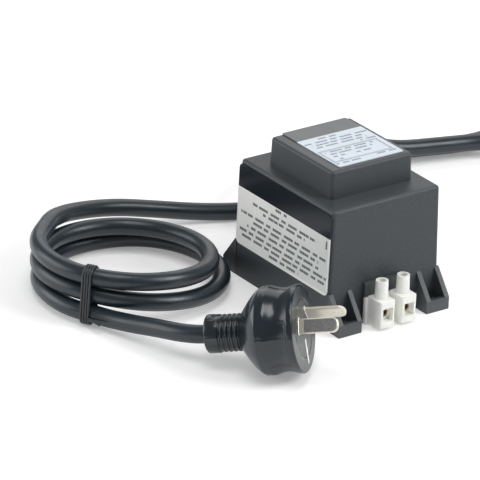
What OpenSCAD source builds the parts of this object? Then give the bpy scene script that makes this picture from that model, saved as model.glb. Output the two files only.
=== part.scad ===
// Potted low voltage transformer in a moulded case, with a coiled mains lead and its plug.
// The origin is the middle of the base, +X is the terminal end and -Y is the labelled front.

/* [Core] */
// Length of the laminated core, along X
core_w = 60; // [57:0.5:66]
// Height of the lamination stack
stack_h = 36; // [30:1:42]
// Room under the bobbin for the leads
lead_room = 5.9; // [5.7:0.1:10]
// Share of the winding room that the primary takes
primary_share = 0.53; // [0.4:0.01:0.6]

/* [Case] */
// Thickness of the case walls
wall = 2.4; // [1.8:0.1:3]
// Gap between core and case, along X
core_gap_x = 0.9; // [0.4:0.1:2]
// Gap between core and case, along Y
core_gap_y = 0.6; // [0.3:0.1:2]
// Draft of the outer walls, in degrees
draft = 1; // [0.5:0.25:1.5]
// Radius of the rounded outer edges
edge_r = 1.6; // [0.8:0.1:2]
// Thickness of the crown walls
crown_wall = 2.2; // [1.6:0.1:2.8]
// Room inside the crown past each end of the bobbin
crown_end_room = 4; // [2:0.5:6]
// Room inside the crown above the bobbin
crown_head_room = 3.3; // [2:0.1:6]

/* [Mounting lugs] */
// How far each lug stands out from the foot of the case
lug_reach = 8; // [7:0.2:12]
// Width of each lug, along Y
lug_w = 11.8; // [10:0.2:14]
// Height of the lug ribs at the case
lug_rib_h = 16.6; // [12:0.2:24]
// Height of the lug's outer edge
lug_edge_h = 5.6; // [4.6:0.2:8]
// Thickness of the lug ribs
lug_rib_t = 2.2; // [1.6:0.1:2.6]
// Thickness of the lug's outer edge
lug_edge_t = 1.8; // [1.2:0.1:2.2]
// Thickness of the lug floor
lug_floor_t = 2.8; // [2:0.1:4]
// Diameter of the fixing holes
lug_hole_d = 4.2; // [3:0.1:4.6]
// Distance from the foot of the case to the middle of a fixing hole
lug_hole_out = 3.95; // [3.2:0.05:4.2]

/* [Terminals] */
// Height of the wire entries above the base
wire_z = 7.2; // [6.6:0.1:9]
// Distance between the two poles
pole_pitch = 11.2; // [9.5:0.1:14]
// Width of one pole
pole_w = 7.5; // [7.2:0.1:8.5]
// Depth of one pole in front of the flange
pole_depth = 9.3; // [8.6:0.1:12]
// Height of a pole above the wire entry's middle
pole_rise = 6.2; // [5.2:0.1:8]
// Height of the screw turrets above the poles
turret_h = 8.1; // [6.2:0.1:10]
// Radius of the barrel bore that takes the wire
wire_r = 1.875; // [1.5:0.025:2]
// Depth of the barrel bore
wire_depth = 6; // [4:0.1:6.2]
// Travel of the clamp screws
screw_travel = 2.6; // [1:0.1:3]
// Radius of the clamp screw's shank
screw_r = 1.45; // [1.2:0.05:1.5]

/* [Labels] */
// Thickness of both labels
label_t = 0.4; // [0.2:0.1:0.8]
// Width of the front label
front_label_w = 65.8; // [50:0.2:66]
// Height of the front label
front_label_h = 36.9; // [24:0.3:37.2]
// Width of the top label, along X
top_label_w = 41.4; // [30:0.2:41.6]
// Depth of the top label, along Y
top_label_d = 33.6; // [24:0.2:38]

/* [Mains lead] */
// Diameter of the mains lead
cord_d = 7.8; // [7:0.1:7.8]
// Gap between turns that lie side by side
turn_gap = 0.45; // [0.42:0.01:0.8]
// Turns in the spare coil
spare_turns = 3.7; // [3.7:2:5.7]
// Mean radius of the spare coil
spare_r = 43; // [41:1:47]
// Length of the tapered strain relief outside the case
relief_len = 27.7; // [20:0.1:28]
// Radius of the strain relief at the case
relief_r = 6.4; // [5.4:0.1:7.2]
// Radius of the strain relief at its tip
relief_tip_r = 4.8; // [4.4:0.1:5.2]

/* [Plug] */
// Radius of the plug's face
plug_r = 18.4; // [17:0.1:19]
// Radius of the plug's rear flange
plug_flange_r = 18.5; // [17.5:0.1:19.2]
// Length of the plug body from face to cord
plug_len = 40.8; // [40.2:0.2:46]
// Length of the pins outside the face
pin_len = 17.06; // [15:0.02:18]
// Width of a pin
pin_w = 6.35; // [5.5:0.05:7]
// Thickness of a pin
pin_t = 1.63; // [1.2:0.01:1.8]
// Distance of each pin's middle from the plug's axis
pin_radius = 7.92; // [7.5:0.02:8.5]

/* [Hidden] */
$fn = 32;

// Overrun of every cut
cut = 0.5;
// Clearance between pieces that seat on each other
seat = 0.05;
// Clearance round pieces that slide into each other
slip = 0.1;

// Core proportions: the legs, windows and yokes follow one lamination unit
unit = core_w / 6;
core_d = 5 * unit;
coil_half_len = 1.5 * unit;

// Bobbin and windings
bobbin_gap = 0.2;
bobbin_t = 1;
flange_gap = 0.4;
tape_t = 0.3;
tube_half_x = unit + bobbin_gap;
tube_half_z = stack_h / 2 + bobbin_gap;
flange_out = unit - flange_gap - bobbin_gap;
winding_room = flange_out - bobbin_t - 2 * tape_t - 4 * seat - flange_gap;
primary_t = winding_room * primary_share;
secondary_t = winding_room - primary_t;
primary_in = bobbin_t + seat;
primary_tape_in = primary_in + primary_t + seat;
secondary_in = primary_tape_in + tape_t + seat;
secondary_tape_in = secondary_in + secondary_t + seat;
winding_out = secondary_tape_in + tape_t;
winding_half_len = coil_half_len - bobbin_gap - bobbin_t - seat;
winding_r = 3;
core_z = lead_room + flange_out + bobbin_gap;
core_top = core_z + stack_h;
core_mid = core_z + stack_h / 2;
bobbin_half_x = tube_half_x + flange_out;
bobbin_low = core_mid - tube_half_z - flange_out;
bobbin_top = core_mid + tube_half_z + flange_out;
winding_low = core_mid - tube_half_z - winding_out;

// Case outline, snug round the core
case_w = core_w + 2 * (core_gap_x + wall);
case_d = core_d + 2 * (core_gap_y + wall);
roof_gap = 0.1;
case_h = core_top + roof_gap + wall;
crown_gap = 0.4;
crown_w = 2 * (tube_half_x + flange_out + crown_gap + crown_wall);
crown_d = 2 * (coil_half_len + crown_end_room - bobbin_gap + crown_wall);
top_z = bobbin_top + crown_head_room + crown_wall;
lean = tan(draft);
foot_x = case_w / 2 + lean * case_h;
foot_y = case_d / 2 + lean * case_h;
function wall_x(z) = case_w / 2 + lean * (case_h - z);
function wall_y(z) = case_d / 2 + lean * (case_h - z);

// Potting skin under the core
skin_low = 1;
skin_t = 2;
skin_top = skin_low + skin_t;
post_w = 0.7 * unit;
post_gap = 0.2;

// Lugs
lug_x = foot_x + lug_reach;
lug_y = foot_y - lug_w / 2;
hole_x = foot_x + lug_hole_out;

// Terminal strip
strip_y = -1.2;
boss_w = 20;
boss_h = 18.5;
boss_proud = 1.5;
boss_x = wall_x(wire_z) + boss_proud;
flange_t = 1.5;
flange_w = pole_pitch + pole_w + 2.6;
flange_low = 0.7;
flange_rise = 5;
flange_top = wire_z + flange_rise;
pole_x = boss_x + flange_t;
front_x = pole_x + pole_depth;
pole_low = 1.5;
pole_top = wire_z + pole_rise;
pole_corner = 0.8;
turret_r = 2.95;
turret_top_r = 2.7;
turret_back = 5.2;
turret_x = front_x - turret_back;
turret_top = pole_top + turret_h;
head_r = 1.65;
head_h = 1.8;
funnel_w = 5;
funnel_h = 6;
funnel_depth = 2.8;
lip_t = 0.8;
lip_r = wire_r + 0.2;
barrel_w = 6;
barrel_low = 3.2;
barrel_rise = 4;
barrel_x0 = boss_x + seat;
barrel_x1 = front_x - funnel_depth - lip_t - seat;
barrel_top = wire_z + barrel_rise;
screw_tip = wire_z + wire_r + slip;
head_z = barrel_top + screw_travel + 1;
slot_w = 0.6;
slot_h = 0.8;
pole_ys = [strip_y - pole_pitch / 2, strip_y + pole_pitch / 2];
wire_hole_r = 1.3;

// Cord entry in the end wall opposite the terminals
gland_neck_r = 5;
gland_collar_t = 1.6;
gland_in_t = 1.5;
anchor_gap = 0.35;
anchor_r = (core_z - skin_top) / 2 - anchor_gap;
gland_in_r = anchor_r;
entry_gap = 4.65;
entry_y = case_d / 2 - wall - seat - post_w - entry_gap - anchor_r;
entry_z = (skin_top + core_z) / 2;
gland_lip = 1.2;
gland_x = wall_x(entry_z);
gland_seat = slip + lean * (relief_r + gland_lip);
jacket_len = 5;
jacket_x = case_w / 2 - wall - gland_in_t;
relief_x = gland_x + relief_len;
anchor_step = 2;
anchor_w = 2.4;

// Internal leads: their diameter, the room that one takes to bend and the level under the bobbin
lead_d = 1.9;
lead_bend = 3;
lead_low = (skin_top + bobbin_low) / 2;
tag_w = 1.6;
tag_t = 0.8;
tag_len = 2.4;
tag_z = core_z - 3.4;
tag_xs = [0.6 * unit, 1.4 * unit];
tag_row = coil_half_len - bobbin_gap + tag_len / 2;
tag_low = tag_z - seat;
cutout_w = 12;
cutout_d = 6;
cutout_h = 2.6;
cutout_x = -2;
cutout_y = 2;
cutout_z = winding_low - cutout_h - seat;

// Cord route, chosen by hand: out of the case, past the picture's edge to the spare coil
cord_r = cord_d / 2;
turn_step = cord_d + turn_gap;
tie_t = 0.65;
tie_slack = 0.5;
floor_gap = 0.05;
lifted_z = cord_r + tie_slack + tie_t + floor_gap;
out_route = [
    [-73, 9.2, 11.4], [-81.5, 13.6, 13], [-89.7, 22, 13], [-95.5, 33, 13],
    [-98.6, 46, 12.8], [-99, 60, 12.8], [-97, 75, 12.8], [-93, 88, 11.8], [-89, 102, 9],
    [-84.5, 121, 8], [-79, 140, 7.6], [-69.5, 151.5, 8.6], [-57, 158.6, 10.6], [-46.2, 166.4, 12.6]
];
// Back from the spare coil, along the floor behind the case and up to the coil that shows
return_route = [
    [-95.4, 173, 4.2], [-90, 159, 3.9], [-87.6, 146, 3.9], [-89.6, 132, 3.9],
    [-93.6, 119, 3.9], [-96.7, 107.8, 3.9], [-98.6, 96, 3.9], [-97.5, 84, 3.9], [-92.8, 72.5, 3.9],
    [-86, 59, 3.9], [-79.4, 46, 3.9], [-76.4, 35, 3.9], [-75.4, 25, 3.9], [-76.4, 14.4, 3.9],
    [-79.6, 4.1, 3.9], [-86.1, -12, 5], [-92, -30, 8], [-94.6, -46.5, 11.6],
    [-94.9, -56, 13.4], [-93.7, -65.3, 15.3], [-91.2, -74.2, 17.3], [-87.7, -82.2, 19.3]
];
// From the coil that shows to the plug
lead_route = [[-1.5, -101.9, 6.8], [8, -99.1, 8.6], [16.4, -97.2, 10.1], [23.4, -94.8, 11.3]];

// Spare coil: two layers, a spiral in on top and a spiral out below
spare_centre = [-61, 224];
spare_start = 311;
spare_half = spare_turns / 2;
spare_out_r = spare_r + turn_step * spare_half / 2;
function spare_radius(t) = spare_out_r - turn_step * min(t, spare_turns - t);
function spare_layer(t) = max(0, min(1, (spare_half + 0.25 - t) / 0.5));
function spare_point(t) = [
    spare_centre.x + spare_radius(t) * cos(spare_start + 360 * t),
    spare_centre.y + spare_radius(t) * sin(spare_start + 360 * t),
    lifted_z + turn_step * spare_layer(t)
];

// Coil that shows: radius and layer at every eighth of a turn, chosen by hand
show_centre = [-47.5, -76];
show_start = 217;
show_radii = [
    36.6, 38.7, 40.2, 38.8, 36.4, 35.5, 34.8, 34.6, 36.2, 38.4, 39.3, 39.8, 40.2, 42, 42, 37.8, 36.4, 38.2, 42
];
layer_shares = [1.96, 2, 1.96, 1.7, 1.3, 1.08, 1, 1, 1, 1, 0.96, 0.62, 0.22, 0.03, 0, 0, 0, 0, 0];
lift_shares = [1, 1, 1, 0.8, 0.4, 0.2, 0, 0.2, 0.6, 1, 0.9, 0.4, 0, 0.01, 0.01, 0.2, 0.6, 1, 1];
loop_rings = 24;
show_rings = 54;
show_turns = show_rings / loop_rings;
function clamped(list, i) = list[max(0, min(len(list) - 1, i))];
function eased(a, b, c, d, u) =
    b + u * (c - a + u * (2 * a - 5 * b + 4 * c - d + u * (3 * (b - c) + d - a))) / 2;
function along(list, t) = let (i = min(floor(t * 8), len(list) - 2), u = t * 8 - i)
    eased(clamped(list, i - 1), list[i], clamped(list, i + 1), clamped(list, i + 2), u);
function show_point(t) = [
    show_centre.x + along(show_radii, t) * cos(show_start + 360 * t),
    show_centre.y + along(show_radii, t) * sin(show_start + 360 * t),
    cord_r + turn_step * along(layer_shares, t) + (lifted_z - cord_r) * along(lift_shares, t)
];

loop_sides = 6;
tube_sides = 8;
lead_sides = 6;
spare_rings = ceil(spare_turns * loop_rings);
function unit_of(v) = v / norm(v);
function with_ends(list, end_len) = let (n = len(list) - 1)
    concat(
        [list[0] - unit_of(list[1] - list[0]) * end_len],
        list,
        [list[n] + unit_of(list[n] - list[n - 1]) * end_len]
    );
spare_points = with_ends([for (i = [0:spare_rings]) spare_point(spare_turns * i / spare_rings)], cord_d);
show_points = with_ends([for (i = [0:show_rings]) show_point(show_turns * i / show_rings)], cord_d);
function least_gap(list, skip) =
    min([for (i = [0:len(list) - 1]) for (j = [i + skip:1:len(list) - 1]) norm(list[i] - list[j])]) - cord_d;
function run_of(list) = let (n = len(list) - 1) [for (i = [0:n - 1]) norm(list[i + 1] - list[i])];
function total(list) = list * [for (i = [0:len(list) - 1]) 1];

// Plug pose: the middle of its face, its heading round Z and its tilt upwards
plug_heading = 41;
plug_tilt = 11.8;
rim_len = 3;
flange_front = 12.5;
flange_back = 15.6;
dome_back = 25.6;
dome_bulge = 1;
plug_low = plug_flange_r * cos(plug_tilt) + flange_back * sin(plug_tilt);
plug_face = [62.2, -62.8, plug_low + slip];
plug_axis = [cos(plug_heading) * cos(plug_tilt), sin(plug_heading) * cos(plug_tilt), sin(plug_tilt)];
plug_entry = plug_face - plug_axis * plug_len;
waist_r = plug_r - 1.2;
neck_r = 7.3;
rib_r = 7.9;
rib_count = 4;
rib_step = 2.1;
rib_gap = 0.8;
collar_len = 5.8;
collar_r = 8.1;
carrier_r = 12;
carrier_len = 12;
channel_r = 3.2;
chamber_len = 6;
pin_angle = 60;
pin_tip_r = 2.6;
blank_w = 6.3;
blank_t = 1.6;
blank_down = 8;
blank_len = 4;
pin_root = 9;

gland_end = [-relief_x, entry_y, entry_z];
out_points = concat(
    [gland_end, gland_end - [relief_x - gland_x, 0, 0] * 0.12],
    out_route,
    [spare_points[0] - unit_of(spare_points[1] - spare_points[0]) * cord_d, spare_points[0]]
);
spare_last = len(spare_points) - 1;
show_last = len(show_points) - 1;
return_points = concat(
    [spare_points[spare_last], spare_points[spare_last]
        + unit_of(spare_points[spare_last] - spare_points[spare_last - 1]) * cord_d],
    return_route,
    [show_points[0] - unit_of(show_points[1] - show_points[0]) * cord_d / 2, show_points[0]]
);
lead_points = concat(
    [show_points[show_last], show_points[show_last]
        + unit_of(show_points[show_last] - show_points[show_last - 1]) * cord_d / 2],
    lead_route,
    [plug_entry - plug_axis * cord_d / 2, plug_entry]
);
echo("least gap in the coil that shows", least_gap(show_points, 12));
echo("least gap in the spare coil", least_gap(spare_points, 12));
echo("lead length", total(run_of(out_points)) + total(run_of(spare_points)) + total(run_of(return_points))
    + total(run_of(show_points)) + total(run_of(lead_points)));

// Tube through points, round in section, with its ends square to the first and last runs
module tube(points, d, sides, up = [0, 0, 1]) {
    n = len(points) - 1;
    dirs = [for (i = [0:n]) unit_of(
        unit_of(points[min(n, i + 1)] - points[min(n - 1, i)])
            + unit_of(points[max(1, i)] - points[max(0, i - 1)])
    )];
    sides_x = [for (t = dirs) unit_of(cross(t, up))];
    rings = [for (i = [0:n]) for (k = [0:sides - 1])
        points[i] + d / 2 * (cos(360 * (k + 0.5) / sides) * sides_x[i]
            + sin(360 * (k + 0.5) / sides) * cross(sides_x[i], dirs[i]))];
    skin = [for (i = [0:n - 1]) for (k = [0:sides - 1]) let (a = i * sides, b = (k + 1) % sides)
        [a + k, a + b, a + sides + b, a + sides + k]];
    first = [for (k = [0:sides - 1]) sides - 1 - k];
    last = [for (k = [0:sides - 1]) n * sides + k];
    polyhedron(rings, concat(skin, [first, last]));
}

module rounded_rect(w, d, r) {
    square([w - 2 * r, d], center = true);
    square([w, d - 2 * r], center = true);
    for (sx = [-1, 1]) {
        for (sy = [-1, 1]) {
            translate([sx * (w / 2 - r), sy * (d / 2 - r)]) circle(r = r);
        }
    }
}

// Drafted block with rounded upright and top edges, its top at z = 0
module drafted_block(w, d, h) {
    grow = lean * h;
    hull() {
        for (sx = [-1, 1]) {
            for (sy = [-1, 1]) {
                translate([sx * (w / 2 - edge_r), sy * (d / 2 - edge_r), -edge_r])
                    sphere(r = edge_r, $fn = 24);
                translate([sx * (w / 2 + grow - edge_r), sy * (d / 2 + grow - edge_r), -h])
                    cylinder(r = edge_r, h = seat, $fn = 24);
            }
        }
    }
}

// One lug at the +X, -Y corner: floor, outer edge and two sloping ribs
module lug() {
    root = foot_x - wall / 2;
    y0 = -foot_y;
    translate([root, y0, 0]) cube([lug_x - root, lug_w, lug_floor_t]);
    translate([lug_x - lug_edge_t, y0, 0]) cube([lug_edge_t, lug_w, lug_edge_h]);
    for (y = [y0, y0 + lug_w - lug_rib_t]) {
        translate([0, y + lug_rib_t, 0]) rotate([90, 0, 0]) linear_extrude(height = lug_rib_t)
            polygon([
                [root, 0], [lug_x, 0], [lug_x, lug_edge_h], [wall_x(lug_rib_h), lug_rib_h], [root, lug_rib_h]
            ]);
    }
}

module case() {
    color("#26282b") difference() {
        union() {
            translate([0, 0, case_h]) drafted_block(case_w, case_d, case_h);
            translate([0, 0, top_z]) drafted_block(crown_w, crown_d, top_z - case_h + wall / 2);
            for (sx = [0, 1]) {
                for (sy = [0, 1]) mirror([sx, 0, 0]) mirror([0, sy, 0]) lug();
            }
            translate([case_w / 2 - wall, strip_y - boss_w / 2, 0])
                cube([boss_x - case_w / 2 + wall, boss_w, boss_h]);
        }
        translate([-case_w / 2 + wall, -case_d / 2 + wall, -cut])
            cube([case_w - 2 * wall, case_d - 2 * wall, case_h - wall + cut]);
        translate([-crown_w / 2 + crown_wall, -crown_d / 2 + crown_wall, case_h - wall - cut])
            cube([
                crown_w - 2 * crown_wall, crown_d - 2 * crown_wall, top_z - crown_wall - case_h + wall + cut
            ]);
        for (sx = [-1, 1]) {
            for (sy = [-1, 1]) {
                translate([sx * hole_x, sy * lug_y, -cut])
                    cylinder(d = lug_hole_d, h = lug_floor_t + 2 * cut);
            }
        }
        for (y = pole_ys) {
            translate([case_w / 2 - wall - cut, y, wire_z]) rotate([0, 90, 0])
                cylinder(r = wire_hole_r, h = boss_x - case_w / 2 + wall + 2 * cut);
        }
        translate([-gland_x - cut, entry_y, entry_z]) rotate([0, 90, 0])
            cylinder(r = gland_neck_r, h = gland_x - case_w / 2 + wall + 2 * cut);
    }
}

// Resin skin that closes the base, with a post under each corner of the core
module potting_fill() {
    half_x = case_w / 2 - wall - seat;
    half_y = case_d / 2 - wall - seat;
    color("#3a3632") union() {
        translate([-half_x, -half_y, skin_low]) cube([2 * half_x, 2 * half_y, skin_t]);
        for (sx = [0, 1]) {
            for (sy = [0, 1]) {
                mirror([sx, 0, 0]) mirror([0, sy, 0]) translate([half_x - post_w, half_y - post_w, skin_low])
                    cube([post_w, post_w, core_z - post_gap - skin_low]);
            }
        }
    }
}

module core_e() {
    color("#8b8f94") translate([-core_w / 2, -core_d / 2, core_z]) union() {
        cube([core_w, unit, stack_h]);
        cube([unit, 4 * unit, stack_h]);
        translate([core_w - unit, 0, 0]) cube([unit, 4 * unit, stack_h]);
        translate([2 * unit, 0, 0]) cube([2 * unit, 4 * unit, stack_h]);
    }
}

module core_i() {
    color("#83878c") translate([-core_w / 2, core_d / 2 - unit + seat, core_z])
        cube([core_w, unit - seat, stack_h]);
}

// Rectangular sleeve round the core's middle leg, from one offset to another
module sleeve(inner, outer, half_len, r) {
    translate([0, half_len, core_mid]) rotate([90, 0, 0]) linear_extrude(height = 2 * half_len) difference() {
        rounded_rect(2 * (tube_half_x + outer), 2 * (tube_half_z + outer), r);
        square([2 * (tube_half_x + inner), 2 * (tube_half_z + inner)], center = true);
    }
}

module bobbin() {
    half = coil_half_len - bobbin_gap;
    color("#d9d4c4") union() {
        sleeve(0, bobbin_t, half, bobbin_t);
        for (sy = [-1, 1]) {
            translate([0, sy * (half - bobbin_t / 2), 0]) sleeve(0, flange_out, bobbin_t / 2, bobbin_t);
        }
    }
}

module winding_layer(inner, thick, hex) {
    color(hex) sleeve(inner, inner + thick, winding_half_len, winding_r * (inner + thick) / flange_out);
}

module primary_winding() {
    winding_layer(primary_in, primary_t, "#b5652b");
}

module primary_tape() {
    winding_layer(primary_tape_in, tape_t, "#e2c23c");
}

module secondary_winding() {
    winding_layer(secondary_in, secondary_t, "#c47a3a");
}

module secondary_tape() {
    winding_layer(secondary_tape_in, tape_t, "#e8cb52");
}

// Solder tags that stand out of both bobbin flanges under the core
module winding_tags() {
    color("#c9a24a") for (sy = [-1, 1]) {
        for (x = tag_xs) {
            translate([x - tag_w / 2, sy * tag_row - tag_len / 2, tag_z]) cube([tag_w, tag_len, tag_t]);
        }
    }
}

module thermal_cutout() {
    color("#c8c9c4") translate([cutout_x, cutout_y, cutout_z]) linear_extrude(height = cutout_h)
        rounded_rect(cutout_w, cutout_d, 1);
}

jacket_end_x = -jacket_x + jacket_len;
core_step = 0.84 * lead_d;
cutout_mid_z = cutout_z + cutout_h / 2;

// Insulated core from the cord's inner end to the thermal cut-out
module mains_core_live() {
    y = entry_y - core_step;
    cutout_end = cutout_x - cutout_w / 2;
    color("#6b3a1e") tube([
        [jacket_end_x, y, entry_z],
        [jacket_end_x + 0.4 * lead_bend, y, entry_z],
        [jacket_end_x + 1.1 * lead_bend, y - 0.2 * lead_bend, entry_z - 0.5 * lead_bend],
        [-bobbin_half_x + 0.4 * lead_bend, y - 0.5 * lead_bend, cutout_mid_z],
        [cutout_end - lead_bend, cutout_y + 0.1 * lead_bend, cutout_mid_z],
        [cutout_end - 0.35 * lead_bend, cutout_y, cutout_mid_z],
        [cutout_end, cutout_y, cutout_mid_z]
    ], lead_d, lead_sides);
}

// Insulated core from the cord's inner end, round the bobbin, to the first primary tag
module mains_core_neutral() {
    y = entry_y + core_step;
    x = tag_xs[0];
    low = wire_z + 0.3 * lead_bend;
    color("#2f62a8") tube([
        [jacket_end_x, y, entry_z],
        [jacket_end_x + 0.35 * lead_bend, y, entry_z],
        [jacket_end_x + 0.75 * lead_bend, y + 0.2 * lead_bend, entry_z],
        [-bobbin_half_x - 0.6 * lead_bend, y + 0.7 * lead_bend, entry_z],
        [-bobbin_half_x - 0.55 * lead_bend, tag_row - 0.4 * lead_bend, (entry_z + low) / 2],
        [-bobbin_half_x - 0.3 * lead_bend, tag_row, low],
        [-bobbin_half_x + 0.2 * lead_bend, tag_row + 0.2 * lead_bend, low],
        [-bobbin_half_x + lead_bend, tag_row + 0.2 * lead_bend, low],
        [x - lead_bend, tag_row + 0.1 * lead_bend, low],
        [x - 0.35 * lead_bend, tag_row, low + 0.15 * lead_bend],
        [x, tag_row, tag_low - 0.6 * lead_bend],
        [x, tag_row, tag_low]
    ], lead_d, lead_sides, [0.2, 1, 0]);
}

// Lead from the thermal cut-out, under the bobbin, to the second primary tag
module cutout_lead() {
    x = tag_xs[1];
    cutout_end = cutout_x + cutout_w / 2;
    color("#8c2b22") tube([
        [cutout_end, cutout_y, cutout_mid_z],
        [cutout_end + 0.4 * lead_bend, cutout_y, cutout_mid_z],
        [(cutout_end + x) / 2, cutout_y + 0.5 * lead_bend, lead_low],
        [x - 0.6 * lead_bend, cutout_y + 1.4 * lead_bend, lead_low],
        [x - 0.1 * lead_bend, tag_row - 1.8 * lead_bend, lead_low],
        [x, tag_row - lead_bend, lead_low],
        [x, tag_row - 0.2 * lead_bend, lead_low + 0.12 * lead_bend],
        [x, tag_row + 0.07 * lead_bend, lead_low + 0.7 * lead_bend],
        [x, tag_row + 0.07 * lead_bend, lead_low + 1.4 * lead_bend],
        [x, tag_row, tag_low - 0.4 * lead_bend],
        [x, tag_row, tag_low]
    ], lead_d, lead_sides, [1, 0, 0.2]);
}

// Lead from a secondary tag, under the bobbin, to the back of the farther terminal barrel
module secondary_lead_a() {
    x = tag_xs[0];
    y = pole_ys[1];
    wall_in = case_w / 2 - wall;
    color("#e6e6e2") tube([
        [x, -tag_row, tag_low],
        [x, -tag_row, tag_low - 0.4 * lead_bend],
        [x, -tag_row - 0.07 * lead_bend, (tag_low + lead_low) / 2],
        [x, -tag_row - 0.07 * lead_bend, lead_low + 0.7 * lead_bend],
        [x + 0.05 * lead_bend, -tag_row + 0.2 * lead_bend, lead_low + 0.12 * lead_bend],
        [x + 0.45 * lead_bend, -tag_row + 0.85 * lead_bend, lead_low],
        [bobbin_half_x + 0.35 * lead_bend, y - 1.5 * lead_bend, lead_low],
        [bobbin_half_x + 1.3 * lead_bend, y - 0.5 * lead_bend, (lead_low + wire_z) / 2],
        [wall_in - 1.5 * lead_bend, y - 0.1 * lead_bend, wire_z - 0.1 * lead_bend],
        [wall_in - 0.75 * lead_bend, y, wire_z],
        [barrel_x0 - seat, y, wire_z]
    ], lead_d, lead_sides, [0.5, 0.4, 0.8]);
}

// Lead from a secondary tag, round the bobbin, to the back of the nearer terminal barrel
module secondary_lead_b() {
    x = tag_xs[1];
    y = pole_ys[0];
    wall_in = case_w / 2 - wall;
    color("#d8d8d4") tube([
        [x, -tag_row, tag_low],
        [x, -tag_row, tag_low - 0.4 * lead_bend],
        [x + 0.1 * lead_bend, -tag_row - 0.1 * lead_bend, wire_z + 0.75 * lead_bend],
        [x + 0.55 * lead_bend, -tag_row - 0.17 * lead_bend, wire_z + 0.25 * lead_bend],
        [bobbin_half_x - 0.3 * lead_bend, -tag_row - 0.17 * lead_bend, wire_z + 0.05 * lead_bend],
        [bobbin_half_x + 0.65 * lead_bend, -tag_row + 0.3 * lead_bend, wire_z],
        [bobbin_half_x + 1.15 * lead_bend, (y - tag_row) / 2, wire_z],
        [wall_in - 1.5 * lead_bend, y - 0.2 * lead_bend, wire_z],
        [wall_in - 0.75 * lead_bend, y, wire_z],
        [barrel_x0 - seat, y, wire_z]
    ], lead_d, lead_sides, [0.2, 0.5, 0.8]);
}

// Stub of the cord's jacket inside the case
module jacket_end() {
    color("#1d1f21") translate([-jacket_x + seat, entry_y, entry_z]) rotate([0, 90, 0])
        cylinder(d = cord_d, h = jacket_len - seat);
}

// Collar that grips the jacket so that the cord can't be pulled out
module cord_anchor() {
    color("#33363a") translate([-jacket_x + anchor_step, entry_y, entry_z]) rotate([0, 90, 0]) difference() {
        cylinder(r = anchor_r, h = anchor_w);
        translate([0, 0, -cut]) cylinder(r = cord_r + seat, h = anchor_w + 2 * cut);
    }
}

// Tapered strain relief with an outer collar, a neck in the wall and an inner collar
module strain_relief() {
    groove_d = 0.5;
    ribs = 6;
    rib_run = relief_len * 0.62;
    start = relief_len * 0.3;
    collar_r = relief_r + gland_lip;
    wall_in = case_w / 2 - wall - gland_x;
    function relief_at(s) = relief_r + (relief_tip_r - relief_r) * s / relief_len;
    outline = concat(
        [[0, wall_in - gland_in_t], [gland_in_r, wall_in - gland_in_t], [gland_in_r, wall_in - seat],
            [gland_neck_r - seat, wall_in - seat], [gland_neck_r - seat, gland_seat], [collar_r, gland_seat],
            [collar_r, gland_collar_t], [relief_at(gland_collar_t), gland_collar_t]],
        [for (i = [0:ribs - 1]) for (k = [0:3]) let (s = start + rib_run * (i + k / 4) / ribs)
            [relief_at(s) - (k == 1 || k == 2 ? groove_d : 0), s]],
        [[relief_tip_r, relief_len], [0, relief_len]]
    );
    color("#1f2123") translate([-gland_x, entry_y, entry_z]) rotate([0, -90, 0])
        rotate_extrude() polygon(outline);
}

// Moulded strip: flange, two poles and their screw turrets
module terminal_housing() {
    color("#d7d5c9") difference() {
        union() {
            translate([boss_x + seat, strip_y - flange_w / 2, flange_low])
                cube([flange_t, flange_w, flange_top - flange_low]);
            for (y = pole_ys) {
                translate([(pole_x + front_x) / 2, y, pole_low]) linear_extrude(height = pole_top - pole_low)
                    rounded_rect(pole_depth, pole_w, pole_corner);
                translate([pole_x - seat, y - pole_w / 2, pole_low])
                    cube([pole_corner * 2, pole_w, pole_top - pole_low]);
                translate([turret_x, y, pole_top - seat])
                    cylinder(r1 = turret_r, r2 = turret_top_r, h = turret_h + seat);
            }
        }
        for (y = pole_ys) {
            translate([boss_x - cut, y - barrel_w / 2 - slip, wire_z - barrel_low - slip])
                cube([
                    barrel_x1 + seat - boss_x + cut, barrel_w + 2 * slip, barrel_rise + barrel_low + 2 * slip
                ]);
            translate([barrel_x1 - cut, y, wire_z]) rotate([0, 90, 0]) cylinder(r = lip_r, h = pole_depth);
            translate([front_x - funnel_depth, y - funnel_w / 2, wire_z - funnel_h / 2])
                cube([funnel_depth + cut, funnel_w, funnel_h]);
            translate([turret_x, y, barrel_top])
                cylinder(r = head_r + slip, h = turret_top - barrel_top + cut);
        }
    }
}

module terminal_barrel(y) {
    color("#b98f3e") difference() {
        translate([barrel_x0, y - barrel_w / 2, wire_z - barrel_low])
            cube([barrel_x1 - barrel_x0, barrel_w, barrel_low + barrel_rise]);
        translate([barrel_x1 - wire_depth, y, wire_z]) rotate([0, 90, 0])
            cylinder(r = wire_r, h = wire_depth + cut);
        translate([turret_x, y, wire_z]) cylinder(r = screw_r + seat, h = barrel_rise + cut);
    }
}

module terminal_barrel_a() {
    terminal_barrel(pole_ys[1]);
}

module terminal_barrel_b() {
    terminal_barrel(pole_ys[0]);
}

// Slotted screw that comes down on the wire
module clamp_screw(y) {
    color("#c9ccd0") translate([turret_x, y, 0]) difference() {
        union() {
            translate([0, 0, screw_tip]) cylinder(r = screw_r, h = head_z - screw_tip + seat);
            translate([0, 0, head_z]) cylinder(r = head_r, h = head_h);
        }
        translate([-head_r - cut, -slot_w / 2, head_z + head_h - slot_h])
            cube([2 * (head_r + cut), slot_w, slot_h + cut]);
    }
}

module clamp_screw_a() {
    clamp_screw(pole_ys[1]);
}

module clamp_screw_b() {
    clamp_screw(pole_ys[0]);
}

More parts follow.
